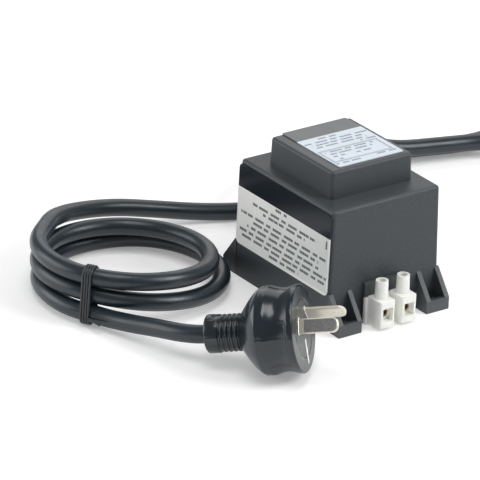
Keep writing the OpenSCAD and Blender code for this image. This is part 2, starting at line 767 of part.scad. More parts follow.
// Plate on the drafted front wall
module front_label() {
    top_edge = case_h - edge_r - 0.1;
    color("#aab0b4") translate([-0.4, -wall_y(top_edge) - seat, top_edge]) rotate([90 - draft, 0, 0])
        translate([0, -front_label_h / 2, 0]) linear_extrude(height = label_t)
            rounded_rect(front_label_w, front_label_h, 2.4);
}

module top_label() {
    color("#dfe3e8") translate([-1, 1.2, top_z + seat]) linear_extrude(height = label_t)
        rounded_rect(top_label_w, top_label_d, 0.8);
}

module cord_out() {
    color("#2b2e31") tube(out_points, cord_d, tube_sides);
}

module spare_coil() {
    color("#2b2e31") tube(spare_points, cord_d, loop_sides);
}

module cord_return() {
    color("#2b2e31") tube(return_points, cord_d, tube_sides);
}

module cord_coil() {
    color("#2b2e31") tube(show_points, cord_d, loop_sides);
}

module cord_lead() {
    color("#2b2e31") tube(lead_points, cord_d, tube_sides);
}

// Closed band round strands that pass at [distance, height] from a centre, seen along a heading
module band(centre, heading, strands, width) {
    translate([centre.x, centre.y, 0]) rotate([90, 0, heading]) translate([0, 0, -width / 2])
        linear_extrude(height = width) difference() {
            hull() {
                for (strand = strands) translate(strand) circle(r = cord_r + tie_slack + tie_t);
            }
            hull() {
                for (strand = strands) translate(strand) circle(r = cord_r + tie_slack);
            }
        }
}

// Where the turns of both layers lie above each other, and how many lie side by side
spare_tie_turn = (spare_turns - floor(spare_turns)) / 2;
spare_tie_w = 3.2;
module spare_tie() {
    outer = spare_radius(spare_tie_turn);
    inner = outer - turn_step * (floor(spare_turns) - 1) / 2;
    color("#17181a") band(spare_centre, spare_start + 360 * spare_tie_turn, [
        [inner, lifted_z], [outer, lifted_z], [inner, lifted_z + turn_step], [outer, lifted_z + turn_step]
    ], spare_tie_w);
}

coil_tie_turn = 0.241;
coil_tie_w = 4.4;
// Half of the band's width, in turns of the coil
coil_tie_share = coil_tie_w / (4 * PI * show_radii[10]);
module coil_tie() {
    color("#17181a") band(show_centre, show_start + 360 * coil_tie_turn, [
        for (i = [0:2], edge = [-1, 1])
            let(t = coil_tie_turn + i + edge * coil_tie_share) [along(show_radii, t), show_point(t).z]
    ], coil_tie_w);
}

// Places its children in the plug's own frame: +Z out of the face along the pins, +Y up
module at_plug() {
    translate(plug_face) rotate([0, 90 - plug_tilt, plug_heading]) rotate([0, 0, 90]) children();
}

// Moulded plug body: rim, hollow waist, flange, domed back, ribbed neck and collar
module plug_body() {
    dome_steps = 8;
    waist_steps = 8;
    rib_start = dome_back + rib_gap;
    dome = [for (i = [1:dome_steps]) let (u = i / dome_steps)
        [plug_flange_r + (rib_r - plug_flange_r) * u + dome_bulge * sin(180 * sqrt(u)),
            -flange_back - (dome_back - flange_back) * u]];
    waist = [for (i = [0:waist_steps]) let (u = i / waist_steps, s = rim_len + (flange_front - rim_len) * u)
        [plug_r + (plug_flange_r - plug_r) * u - (plug_r - waist_r) * sin(180 * u), -s]];
    ribs = [for (i = [0:rib_count - 1]) for (k = [0:3]) let (s = rib_start + i * rib_step)
        [k == 1 || k == 2 ? rib_r : neck_r, -s - (k < 2 ? 0.1 * k : rib_step - rib_gap + 0.1 * (k - 2))]];
    outline = concat(
        [[0, 0], [plug_r - 0.4, 0], [plug_r, -0.4]],
        waist,
        [[plug_flange_r, -flange_back]],
        dome,
        ribs,
        [[neck_r, -plug_len + collar_len], [collar_r, -plug_len + collar_len - 0.3],
            [collar_r, -plug_len + 0.4], [collar_r - 0.4, -plug_len], [0, -plug_len]]
    );
    color("#26292c") at_plug() difference() {
        rotate_extrude($fn = 64) polygon(outline);
        translate([0, 0, -carrier_len]) cylinder(r = carrier_r, h = carrier_len + cut);
        translate([0, 0, -plug_len - cut]) cylinder(r = channel_r, h = plug_len - carrier_len);
        translate([0, 0, -carrier_len - chamber_len]) cylinder(r = carrier_r - 1.5, h = chamber_len + cut);
    }
}

// One flat pin with a round tip: its middle line runs along +Z from the root to the tip
module pin_shape(slack = 0) {
    w = pin_w + 2 * slack;
    t = pin_t + 2 * slack;
    translate([0, t / 2, 0]) rotate([90, 0, 0]) linear_extrude(height = t) union() {
        translate([-w / 2, -pin_root - slack]) square([w, pin_root + slack + pin_len - pin_tip_r]);
        hull() {
            for (sx = [-1, 1]) {
                translate([sx * (pin_w / 2 - pin_tip_r), pin_len - pin_tip_r]) circle(r = pin_tip_r);
            }
        }
    }
}

module at_pin(side) {
    rotate([0, 0, -side * pin_angle]) translate([0, pin_radius, 0]) children();
}

// Insulating insert that holds the pins, flush with the face
module pin_carrier() {
    color("#1c1e20") at_plug() difference() {
        translate([0, 0, -carrier_len + seat]) cylinder(r = carrier_r - seat, h = carrier_len - seat);
        for (side = [-1, 1]) {
            at_pin(side) translate([-pin_w / 2 - seat, -pin_t / 2 - seat, -pin_root - seat])
                cube([pin_w + 2 * seat, pin_t + 2 * seat, pin_root + cut]);
            at_pin(side) translate([0, 0, -carrier_len - cut])
                cylinder(d = lead_d + 2 * slip, h = carrier_len - pin_root + cut);
        }
        translate([-blank_t / 2 - seat, -blank_down - blank_w / 2 - seat, -blank_len - seat])
            cube([blank_t + 2 * seat, blank_w + 2 * seat, blank_len + cut]);
    }
}

module plug_pin_active() {
    color("#d8d2c4") at_plug() at_pin(-1) pin_shape();
}

module plug_pin_neutral() {
    color("#d8d2c4") at_plug() at_pin(1) pin_shape();
}

// Insulated core inside the plug, from the cord's end to the back of a pin
module plug_core(side) {
    start = 0.75 * lead_d;
    pin_x = pin_radius * sin(pin_angle);
    pin_y = pin_radius * cos(pin_angle);
    at_plug() tube([
        [side * start, 0, -plug_len], [side * start, 0, -carrier_len - chamber_len - 3],
        [side * start * 1.6, pin_y * 0.2, -carrier_len - chamber_len + 0.5],
        [side * (start + pin_x) / 2, pin_y * 0.6, -carrier_len - chamber_len / 2],
        [side * pin_x, pin_y, -carrier_len - 0.6], [side * pin_x, pin_y, -pin_root - seat]
    ], lead_d, lead_sides, [0, 1, 0]);
}

module plug_core_active() {
    color("#6b3a1e") plug_core(-1);
}

module plug_core_neutral() {
    color("#2f62a8") plug_core(1);
}

// Bright bar set flush in the face where the earth pin would be
module earth_blank() {
    color("#cfd2d4") at_plug() translate([-blank_t / 2, -blank_down - blank_w / 2, -blank_len])
        cube([blank_t, blank_w, blank_len]);
}

case();
potting_fill();
core_e();
core_i();
bobbin();
winding_tags();
primary_winding();
primary_tape();
secondary_winding();
secondary_tape();
thermal_cutout();
cutout_lead();
mains_core_live();
mains_core_neutral();
secondary_lead_a();
secondary_lead_b();
jacket_end();
cord_anchor();
strain_relief();
terminal_housing();
terminal_barrel_a();
terminal_barrel_b();
clamp_screw_a();
clamp_screw_b();
front_label();
top_label();
cord_out();
spare_coil();
spare_tie();
cord_return();
cord_coil();
coil_tie();
cord_lead();
plug_body();
pin_carrier();
plug_pin_active();
plug_pin_neutral();
plug_core_active();
plug_core_neutral();
earth_blank();
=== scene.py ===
"""Looks of a potted low voltage transformer: moulded case, labels, terminals, coiled lead and plug."""
import math

import bmesh
import bpy
import numpy as np
from mathutils import Matrix, Vector


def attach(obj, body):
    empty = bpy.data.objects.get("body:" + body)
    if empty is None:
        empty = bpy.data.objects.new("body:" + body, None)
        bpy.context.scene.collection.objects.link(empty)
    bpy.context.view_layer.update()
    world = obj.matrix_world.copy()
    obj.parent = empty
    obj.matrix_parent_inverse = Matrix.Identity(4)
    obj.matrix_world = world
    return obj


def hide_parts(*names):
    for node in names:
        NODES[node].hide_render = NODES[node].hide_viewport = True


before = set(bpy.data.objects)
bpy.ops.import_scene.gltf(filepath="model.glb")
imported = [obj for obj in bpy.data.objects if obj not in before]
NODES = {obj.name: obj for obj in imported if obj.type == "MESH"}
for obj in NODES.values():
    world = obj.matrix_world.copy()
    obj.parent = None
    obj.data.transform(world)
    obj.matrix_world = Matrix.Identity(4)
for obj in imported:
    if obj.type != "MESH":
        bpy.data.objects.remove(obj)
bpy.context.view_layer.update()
MM = 0.001
FULL_TURN, HALF_TURN, QUARTER_TURN = 2 * math.pi, math.pi, math.pi / 2

# Camera: its place in metres, its directions, and its lens and sensor in mm
EYE = (1.42218, -1.09232, 0.83555)
VIEW = (-0.7345, 0.5377, -0.4139)
UP = (-0.3566, 0.2131, 0.9096)
LENS, SENSOR = 346.4, 36.0
CLIP_START, CLIP_END = 0.1, 20


def make_camera():
    data = bpy.data.cameras.new("camera")
    data.lens, data.sensor_width = LENS, SENSOR
    data.clip_start, data.clip_end = CLIP_START, CLIP_END
    cam = bpy.data.objects.new("camera", data)
    bpy.context.collection.objects.link(cam)
    back = -Vector(VIEW).normalized()
    up = (Vector(UP) - back * Vector(UP).dot(back)).normalized()
    turn = Matrix((up.cross(back), up, back)).transposed()
    cam.matrix_world = Matrix.Translation(EYE) @ turn.to_4x4()
    bpy.context.scene.camera = cam


make_camera()

# Lead: points of its route
CORD_D = 7.8 * MM
TURN_STEP = 8.25 * MM  # between the middles of turns side by side or in two layers
FLOOR_Z = CORD_D / 2  # middle of the lead where it lies on the floor
LIFTED_Z = 5.1 * MM  # and where it lies on a tie
GLAND_END = np.array([-61.78, 8, 9.25]) * MM
RELIEF_LEN = 27.7 * MM
STRAIGHT_OUT = 0.12 * RELIEF_LEN  # first stretch of the lead past the strain relief
OUT_ROUTE = np.array([
    [-73, 9.2, 11.4], [-81.5, 13.6, 13], [-89.7, 22, 13], [-95.5, 33, 13], [-98.6, 46, 12.8],
    [-99, 60, 12.8], [-97, 75, 12.8], [-93, 88, 11.8], [-89, 102, 9], [-84.5, 121, 8],
    [-79, 140, 7.6], [-69.5, 151.5, 8.6], [-57, 158.6, 10.6], [-46.2, 166.4, 12.6],
]) * MM
RETURN_ROUTE = np.array([
    [-95.4, 173, 4.2], [-90, 159, 3.9], [-87.6, 146, 3.9], [-89.6, 132, 3.9], [-93.6, 119, 3.9],
    [-96.7, 107.8, 3.9], [-98.6, 96, 3.9], [-97.5, 84, 3.9], [-92.8, 72.5, 3.9], [-86, 59, 3.9],
    [-79.4, 46, 3.9], [-76.4, 35, 3.9], [-75.4, 25, 3.9], [-76.4, 14.4, 3.9], [-79.6, 4.1, 3.9],
    [-86.1, -12, 5], [-92, -30, 8], [-94.6, -46.5, 11.6], [-94.9, -56, 13.4], [-93.7, -65.3, 15.3],
    [-91.2, -74.2, 17.3], [-87.7, -82.2, 19.3],
]) * MM
LEAD_ROUTE = np.array([
    [-1.5, -101.9, 6.8], [8, -99.1, 8.6], [16.4, -97.2, 10.1], [23.4, -94.8, 11.3],
]) * MM

# Spare coil: its turns spiral inwards in the upper layer, go down within a part of a turn, and
# spiral outwards in the lower one
SPARE_CENTRE = np.array([-61, 224]) * MM
SPARE_START = math.radians(311)
SPARE_TURNS, SPARE_R, SPARE_CHANGE = 3.7, 43 * MM, 0.5

# Coil that shows: its radius and its height, as shares of a step and of the lift, at every
# eighth of a turn
SHOW_CENTRE = np.array([-47.5, -76]) * MM
SHOW_START = math.radians(217)
PER_TURN = 8
SHOW_RADII = np.array([
    36.6, 38.7, 40.2, 38.8, 36.4, 35.5, 34.8, 34.6, 36.2, 38.4,
    39.3, 39.8, 40.2, 42, 42, 37.8, 36.4, 38.2, 42,
]) * MM
LAYER_SHARES = [1.96, 2, 1.96, 1.7, 1.3, 1.08, 1, 1, 1, 1, 0.96, 0.62, 0.22, 0.03, 0, 0, 0, 0, 0]
LIFT_SHARES = [1, 1, 1, 0.8, 0.4, 0.2, 0, 0.2, 0.6, 1, 0.9, 0.4, 0, 0.01, 0.01, 0.2, 0.6, 1, 1]
LOOP_RINGS = 24  # points in each turn
SHOW_RINGS = LOOP_RINGS * (len(SHOW_RADII) - 1) // PER_TURN

# The lead's curve: steps from point to point, the least distance between two points, the even
# spacing of the curve's own points, and the rounds that soften it
CURVE_STEPS, LEAST_STEP, CORD_STEP, SOFTENING = 16, 0.3 * MM, 1.6 * MM, 6

# Plug: middle of its face, heading round Z, tilt upwards and length back to the lead
PLUG_FACE = np.array([62.2, -62.8, 21.4]) * MM
PLUG_HEADING, PLUG_TILT = math.radians(41), math.radians(11.8)
PLUG_LEN = 40.8 * MM
PLUG_AXIS = np.array([
    math.cos(PLUG_HEADING) * math.cos(PLUG_TILT),
    math.sin(PLUG_HEADING) * math.cos(PLUG_TILT),
    math.sin(PLUG_TILT),
])
PLUG_UP = np.array([
    -math.cos(PLUG_HEADING) * math.sin(PLUG_TILT),
    -math.sin(PLUG_HEADING) * math.sin(PLUG_TILT),
    math.cos(PLUG_TILT),
])
PLUG_SIDE = np.cross(PLUG_UP, PLUG_AXIS)
PLUG_FRAME = Matrix([list(PLUG_SIDE), list(PLUG_UP), list(PLUG_AXIS)]).transposed().to_4x4()
PLUG_FRAME.translation = Vector(PLUG_FACE)


def unit(v):
    return v / np.linalg.norm(v)


def eased(values, x):
    """Smooth value between the entries of a list, at place x counted in entries."""
    i = min(int(x), len(values) - 2)
    u = x - i
    a, b, c = values[max(i - 1, 0)], values[i], values[i + 1]
    d = values[min(i + 2, len(values) - 1)]
    return b + u * (c - a + u * (2 * a - 5 * b + 4 * c - d + u * (3 * (b - c) + d - a))) / 2


def show_point(t):
    """Point of the coil that shows, t turns along it."""
    angle = SHOW_START + FULL_TURN * t
    r = eased(SHOW_RADII, t * PER_TURN)
    z = FLOOR_Z + TURN_STEP * eased(LAYER_SHARES, t * PER_TURN)
    z += (LIFTED_Z - FLOOR_Z) * eased(LIFT_SHARES, t * PER_TURN)
    return [SHOW_CENTRE[0] + r * math.cos(angle), SHOW_CENTRE[1] + r * math.sin(angle), z]


def spare_radius(t):
    """Distance of the spare coil from its centre, t turns along it."""
    return SPARE_R + TURN_STEP * SPARE_TURNS / 4 - TURN_STEP * min(t, SPARE_TURNS - t)


def spare_point(t):
    """Point of the spare coil, t turns along it."""
    angle = SPARE_START + FULL_TURN * t
    r = spare_radius(t)
    layer = min(1, max(0, (SPARE_TURNS / 2 + SPARE_CHANGE / 2 - t) / SPARE_CHANGE))
    z = LIFTED_Z + TURN_STEP * layer
    return [SPARE_CENTRE[0] + r * math.cos(angle), SPARE_CENTRE[1] + r * math.sin(angle), z]


def with_ends(points):
    """Carries a coil on, straight, for one diameter of the lead at both ends."""
    first = points[0] - unit(points[1] - points[0]) * CORD_D
    last = points[-1] + unit(points[-1] - points[-2]) * CORD_D
    return np.vstack([[first], points, [last]])


def on_line(t, start, end, a, b):
    """Point on the line from a, where t is start, to b, where t is end."""
    return (end - t) / (end - start) * a + (t - start) / (end - start) * b


def resampled(points, spacing):
    """Centripetal curve through the points, at an even spacing, and its length."""
    p = points[[0] + [i for i in range(1, len(points))
                      if np.linalg.norm(points[i] - points[i - 1]) > LEAST_STEP]]
    p = np.vstack([2 * p[0] - p[1], p, 2 * p[-1] - p[-2]])
    fine = []
    for i in range(1, len(p) - 2):
        p0, p1, p2, p3 = p[i - 1:i + 3]
        t0 = 0.0
        t1 = t0 + np.linalg.norm(p1 - p0) ** 0.5
        t2 = t1 + np.linalg.norm(p2 - p1) ** 0.5
        t3 = t2 + np.linalg.norm(p3 - p2) ** 0.5
        for t in np.linspace(t1, t2, CURVE_STEPS, endpoint=False):
            a1 = on_line(t, t0, t1, p0, p1)
            a2 = on_line(t, t1, t2, p1, p2)
            a3 = on_line(t, t2, t3, p2, p3)
            b1 = on_line(t, t0, t2, a1, a2)
            b2 = on_line(t, t1, t3, a2, a3)
            fine.append(on_line(t, t1, t2, b1, b2))
    fine.append(p[-2])
    fine = np.array(fine)
    run = np.r_[0, np.cumsum(np.linalg.norm(np.diff(fine, axis=0), axis=1))]
    at = np.linspace(0, run[-1], max(2, int(round(run[-1] / spacing)) + 1))
    return np.stack([np.interp(at, run, fine[:, k]) for k in range(3)], 1), run[-1]


def softened(points, rounds):
    """Evens out the bends where the stretches meet, with both ends held."""
    p = points.copy()
    for _ in range(rounds):
        p[1:-1] = 0.5 * p[1:-1] + 0.25 * (p[:-2] + p[2:])
    return p


def cord_line():
    """Middle line of the whole lead, from the gland to the plug, and its length."""
    rings = math.ceil(SPARE_TURNS * LOOP_RINGS)
    spare = np.array([spare_point(SPARE_TURNS * i / rings) for i in range(rings + 1)])
    show = np.array([show_point(i / LOOP_RINGS) for i in range(SHOW_RINGS + 1)])
    entry = PLUG_FACE - PLUG_AXIS * PLUG_LEN
    points = np.vstack([
        [GLAND_END, GLAND_END - [STRAIGHT_OUT, 0, 0]], OUT_ROUTE, with_ends(spare), RETURN_ROUTE,
        with_ends(show), LEAD_ROUTE, [entry - PLUG_AXIS * CORD_D / 2, entry],
    ])
    middle, _ = resampled(points, CORD_STEP)
    return resampled(softened(middle, SOFTENING), CORD_STEP)


# Mesh helpers
def link_mesh(name, bm, smooth=True, body="base"):
    """Turns a bmesh into an object that rides on a body, or on none where it is scenery."""
    mesh = bpy.data.meshes.new(name)
    bmesh.ops.recalc_face_normals(bm, faces=bm.faces)
    bm.to_mesh(mesh)
    bm.free()
    for p in mesh.polygons:
        p.use_smooth = smooth
    obj = bpy.data.objects.new(name, mesh)
    bpy.context.collection.objects.link(obj)
    if body:
        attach(obj, body)
    return obj


def skin(bm, rings):
    """Joins each ring of points to the next with faces."""
    for a, b in zip(rings, rings[1:]):
        for k in range(len(a)):
            n = (k + 1) % len(a)
            bm.faces.new((a[k], a[n], b[n], b[k]))


def closed_skin(bm, rings):
    """Skin with a face on each end ring."""
    skin(bm, rings)
    bm.faces.new(rings[0])
    bm.faces.new(rings[-1])


def sweep(name, path, radius, sides):
    """Round tube along a path, with its rings turned as little as possible."""
    tangents = np.gradient(path, axis=0)
    tangents /= np.linalg.norm(tangents, axis=1)[:, None]
    side = unit(np.cross(tangents[0], [0, 0, 1.0]))
    bm = bmesh.new()
    rings = []
    for p, t in zip(path, tangents):
        side = unit(side - t * np.dot(side, t))
        other = np.cross(side, t)
        ring = []
        for k in range(sides):
            a = FULL_TURN * k / sides
            ring.append(bm.verts.new(p + radius * (math.cos(a) * side + math.sin(a) * other)))
        rings.append(ring)
    closed_skin(bm, rings)
    return link_mesh(name, bm)


def lathe(outline, steps, shift):
    """Closed ring round Z from (radius, height) pairs; shift(r, z, a) gives a point's radius."""
    bm = bmesh.new()
    rings = []
    for r, z in outline:
        ring = []
        for k in range(steps):
            a = FULL_TURN * k / steps
            q = shift(r, z, a)
            ring.append(bm.verts.new((q * math.cos(a), q * math.sin(a), z)))
        rings.append(ring)
    skin(bm, rings + rings[:1])
    return bm


# Materials, with the scale of a noise counted in a metre
NOISE_ROUGH = 0.55
NOISE_LOW, NOISE_HIGH = 0.3, 0.7  # the span of a noise that is stretched to its full effect
GLOSS_SCALE, GLOSS_DETAIL = 1.7, 3  # the gloss varies on a finer noise than the colour
MIX_FACTOR, MIX_A, MIX_B, MIX_RESULT = 0, 6, 7, 2  # sockets of the Mix node's colour form

# Waves along a bar, in radians a metre: two that break it into dashes, and one that shades them
DASH_WAVE, SPREAD_WAVE, DASH_GAP, ROW_PHASE = 1500.0, 930.0, -0.75, 1.7
STROKE_WAVE, STROKE_FAINT = 4300.0, 0.72


class Look:
    """One procedural material: a Principled shader whose colour, roughness and relief vary."""

    def __init__(self, name, colour, roughness, **settings):
        self.mat = bpy.data.materials.new(name)
        self.mat.use_nodes = True
        self.tree = self.mat.node_tree
        self.shader = self.tree.nodes["Principled BSDF"]
        self.shader.inputs["Base Color"].default_value = (*colour, 1)
        self.shader.inputs["Roughness"].default_value = roughness
        for key, value in settings.items():
            self.shader.inputs[key.replace("_", " ")].default_value = value
        self.colour, self.roughness = colour, roughness
        self.base = colour
        self.normal = None
        self.place = self.add("ShaderNodeTexCoord").outputs["Object"]

    def add(self, kind, **values):
        node = self.tree.nodes.new(kind)
        for key, value in values.items():
            setattr(node, key, value)
        return node

    def join(self, a, b):
        self.tree.links.new(a, b)

    def feed(self, socket, value):
        """Sets a socket to a number or a colour, or joins another node's output to it."""
        if isinstance(value, (int, float)):
            socket.default_value = value
        elif isinstance(value, tuple):
            socket.default_value = (*value, 1)
        else:
            self.join(value, socket)

    def noise(self, scale, detail=4):
        node = self.add("ShaderNodeTexNoise")
        node.inputs["Scale"].default_value = scale
        node.inputs["Detail"].default_value = detail
        node.inputs["Roughness"].default_value = NOISE_ROUGH
        self.join(self.place, node.inputs["Vector"])
        return node.outputs["Fac"]

    def remap(self, value, low, high, to_low, to_high):
        node = self.add("ShaderNodeMapRange")
        for key, v in zip(("Value", "From Min", "From Max", "To Min", "To Max"),
                          (value, low, high, to_low, to_high)):
            self.feed(node.inputs[key], v)
        return node.outputs["Result"]

    def math(self, kind, *values):
        node = self.add("ShaderNodeMath", operation=kind)
        for socket, v in zip(node.inputs, values):
            self.feed(socket, v)
        return node.outputs[0]

    def mix(self, factor, a, b):
        node = self.add("ShaderNodeMix", data_type="RGBA")
        for k, v in ((MIX_FACTOR, factor), (MIX_A, a), (MIX_B, b)):
            self.feed(node.inputs[k], v)
        return node.outputs[MIX_RESULT]

    def cover(self, colour):
        """Makes this the shader's colour."""
        self.base = colour
        self.join(colour, self.shader.inputs["Base Color"])
        return self

    def vary(self, scale, spread, gloss_spread=0.0):
        """Uneven colour and gloss, as on a moulded or handled surface."""
        share = self.remap(self.noise(scale), NOISE_LOW, NOISE_HIGH, 0, 1)
        dark = tuple(c * (1 - spread) for c in self.colour)
        pale = tuple(min(1, c * (1 + spread)) for c in self.colour)
        self.cover(self.mix(share, dark, pale))
        if gloss_spread:
            gloss = self.remap(self.noise(scale * GLOSS_SCALE, GLOSS_DETAIL), NOISE_LOW, NOISE_HIGH,
                               self.roughness - gloss_spread, self.roughness + gloss_spread)
            self.join(gloss, self.shader.inputs["Roughness"])
        return self

    def relief(self, scale, depth, detail=3):
        """Fine bump of a given depth, in mm, over what bump there is."""
        node = self.add("ShaderNodeBump")
        node.inputs["Distance"].default_value = depth * MM
        node.inputs["Strength"].default_value = 1.0
        self.join(self.noise(scale, detail), node.inputs["Height"])
        if self.normal is not None:
            self.join(self.normal, node.inputs["Normal"])
        self.normal = node.outputs["Normal"]
        self.join(self.normal, self.shader.inputs["Normal"])
        return self

    def painted_edge_highlight(self, colour, low, high, amount):
        """Paler edges, found by pointiness: a painted highlight along the edges."""
        pointiness = self.add("ShaderNodeNewGeometry").outputs["Pointiness"]
        return self.cover(self.mix(self.remap(pointiness, low, high, 0, amount), self.base, colour))

    def axes(self):
        """The place on the surface, as x, y and z in metres."""
        node = self.add("ShaderNodeSeparateXYZ")
        self.join(self.place, node.inputs[0])
        return node.outputs

    def box(self, x, y, left, right, low, high):
        """1 inside a rectangle and 0 outside it."""
        above = [self.math("GREATER_THAN", v, limit) for v, limit in ((x, left), (y, low))]
        below = [self.math("LESS_THAN", v, limit) for v, limit in ((x, right), (y, high))]
        return self.math("MULTIPLY", self.math("MULTIPLY", *above), self.math("MULTIPLY", *below))

    def outline(self, x, y, left, right, low, high, line):
        """Outline of a rectangle, with its sides and the line's width in mm."""
        outer = self.box(x, y, left * MM, right * MM, low * MM, high * MM)
        inner = self.box(x, y, (left + line) * MM, (right - line) * MM,
                         (low + line) * MM, (high - line) * MM)
        return self.math("SUBTRACT", outer, inner)

    def broken_bars(self, across, down, rows, height):
        """Rows of broken bars, each row a (middle, start, end), all of one height, in mm."""
        total = phase = 0.0
        for i, (middle, start, end) in enumerate(rows):
            bar = self.box(across, down, start * MM, end * MM,
                           (middle - height / 2) * MM, (middle + height / 2) * MM)
            total = self.math("MAXIMUM", bar, total)
            phase = self.math("ADD", self.math("MULTIPLY", bar, ROW_PHASE * i), phase)
        dashes, spread = (
            self.math("SINE", self.math("ADD", self.math("MULTIPLY", across, wave), phase))
            for wave in (DASH_WAVE, SPREAD_WAVE)
        )
        kept = self.math("GREATER_THAN", self.math("ADD", dashes, spread), DASH_GAP)
        strokes = self.math("SINE", self.math("MULTIPLY", across, STROKE_WAVE))
        strokes = self.remap(strokes, -1, 1, STROKE_FAINT, 1)
        return self.math("MULTIPLY", self.math("MULTIPLY", total, kept), strokes)


def paint(target, look):
    """Gives a CAD node, by name, or a new piece its material."""
    obj = NODES[target] if isinstance(target, str) else target
    if obj.material_slots:
        for s in obj.material_slots:
            s.material = look.mat
    else:
        obj.data.materials.append(look.mat)


# Metals, plastics and other plain looks: colour, roughness, metallic share, unevenness as
# (scale, spread, gloss spread) and relief as (scale, depth in mm, detail)
PLAIN_LOOKS = {
    "potting_resin": ((0.045, 0.04, 0.035), 0.3, 0, (120, 0.25, 0.08), (90, 0.2, 3)),
    "lamination": ((0.22, 0.22, 0.23), 0.42, 0.9, (300, 0.2, 0.1), (900, 0.03, 3)),
    "bobbin_plastic": ((0.72, 0.68, 0.58), 0.45, 0, (150, 0.06, 0), (1500, 0.02, 3)),
    "copper_wire": ((0.66, 0.27, 0.11), 0.3, 0.95, (400, 0.15, 0), (1400, 0.1, 1)),
    "tape": ((0.72, 0.52, 0.08), 0.35, 0, (200, 0.1, 0.05), (500, 0.04, 3)),
    "brass": ((0.62, 0.42, 0.16), 0.34, 1, (700, 0.15, 0.08), (3000, 0.01, 3)),
    "screw_steel": ((0.55, 0.55, 0.54), 0.3, 1, (900, 0.12, 0.08), (2500, 0.01, 3)),
    "nickel": ((0.80, 0.76, 0.66), 0.3, 0.55, (260, 0.03, 0.03), (1800, 0.004, 3)),
    "pin_ring": ((0.95, 0.94, 0.88), 0.2, 0.5, (400, 0.05, 0.04), (1800, 0.006, 3)),
    "pin_panel": ((0.24, 0.24, 0.24), 0.5, 0.4, (2600, 0.55, 0.1), (3500, 0.04, 3)),
    "insert_plastic": ((0.045, 0.05, 0.054), 0.3, 0, (300, 0.1, 0.06), (2200, 0.01, 3)),
    "tie_wire": ((0.03, 0.034, 0.038), 0.36, 0, (500, 0.2, 0.06), (1800, 0.03, 3)),
    "blank_white": ((0.86, 0.86, 0.84), 0.3, 0, (600, 0.04, 0), (1500, 0.01, 3)),
    "cutout_shell": ((0.5, 0.5, 0.48), 0.4, 0.7, (500, 0.1, 0), (1200, 0.02, 3)),
    "core_brown": ((0.15, 0.045, 0.015), 0.4, 0, (300, 0.08, 0), (900, 0.02, 3)),
    "core_blue": ((0.03, 0.12, 0.38), 0.4, 0, (300, 0.08, 0), (900, 0.02, 3)),
    "core_red": ((0.26, 0.025, 0.015), 0.4, 0, (300, 0.08, 0), (900, 0.02, 3)),
    "core_white": ((0.78, 0.78, 0.75), 0.4, 0, (300, 0.08, 0), (900, 0.02, 3)),
}


def plain_look(name):
    colour, roughness, metallic, uneven, relief = PLAIN_LOOKS[name]
    return Look(name, colour, roughness, Metallic=metallic).vary(*uneven).relief(*relief)


looks = {name: plain_look(name) for name in PLAIN_LOOKS}

case_look = Look("case_plastic", (0.045, 0.053, 0.059), 0.46, Specular_IOR_Level=0.4)
case_look.vary(1700, 0.22, 0.06).relief(2600, 0.05, 2).relief(240, 0.02)
# Painted highlight: the case's edges are made paler.
case_look.painted_edge_highlight((0.13, 0.135, 0.14), low=0.52, high=0.6, amount=0.45)

cord_look = Look("cord_pvc", (0.010, 0.020, 0.028), 0.34, Specular_IOR_Level=0.6)
cord_look.vary(60, 0.14, 0.05).relief(1600, 0.012).relief(160, 0.04)

plug_look = Look("plug_pvc", (0.009, 0.016, 0.022), 0.2, Specular_IOR_Level=0.62)
plug_look.vary(110, 0.12, 0.05).relief(1700, 0.008).relief(140, 0.03)

nylon_look = Look("nylon", (0.97, 0.98, 0.90), 0.34, Subsurface_Weight=0.6,
                  Subsurface_Scale=1.5 * MM, Subsurface_Radius=(1.0, 0.95, 0.8))
nylon_look.vary(260, 0.03, 0.05).relief(1400, 0.01).relief(300, 0.03)


# Labels, measured in mm
# Front label: its field has painted shade, pale where x - z is least and darker towards the lower
# right; its rim is bright, its header is glossy
FRONT_ROWS = (
    (40.3, -6.2, 1.8), (37.1, -23, 22.4), (34.8, -14.8, 15.2), (31.0, -30.4, 30.4),
    (28.5, -22.9, 25.5), (25.7, -25.7, 25.6), (22.9, -30.9, 31.4), (20.4, -29.5, 30.2),
    (17.9, -9.9, 12),
)
SIDE_ROWS = ((30.4, 36.4, 40.9),)
FRONT_ROW_H, SIDE_ROW_H = 1.2, 1.1
FRONT_INK, FRONT_INK_SHARE = (0.045, 0.055, 0.062), 0.96
FIELD_ROUGH, FIELD_PAINTED_SHADE, SHADE_START, SHADE_END = 0.34, (0.66, 0.69, 0.67), -60, 20
RIM_COLOUR, RIM_MIDDLE, RIM_HALF_W, RIM_BOTTOM = (0.86, 0.87, 0.85), -0.4, 32.25, 16.65
HEADER_COLOUR, HEADER_ROUGH, HEADER_START = (0.013, 0.018, 0.023), 0.16, 41.6

# Top label: its strip is dark, and its frame is two outlines, each with its sides and its line
TOP_ROWS = (
    (-8.6, -6.2, 4), (-5.9, -15, 17.4), (-3.4, -13, 13.5), (-1, -13.4, 14), (1.1, 9, 17),
    (5, -12.4, 12.6), (7.4, -13, 10.5), (10, -11.5, -5.5), (10.6, 0, 7.5), (13, -12, -8.5),
    (16.8, -15, -2.4), (16.3, 6.5, 16.4),
)
TOP_ROW_H, TOP_INK, TOP_INK_SHARE = 1.2, (0.09, 0.12, 0.17), 0.85
TOP_FRAMES = ((2.8, 15.2, -14.8, 15.8, 0.38), (3.5, 14.5, -14.1, 15.1, 0.22))
FRAME_COLOUR, FRAME_SHARE = (0.05, 0.065, 0.08), 0.85
STRIP_COLOUR, STRIP_END = (0.095, 0.10, 0.103), -10.7


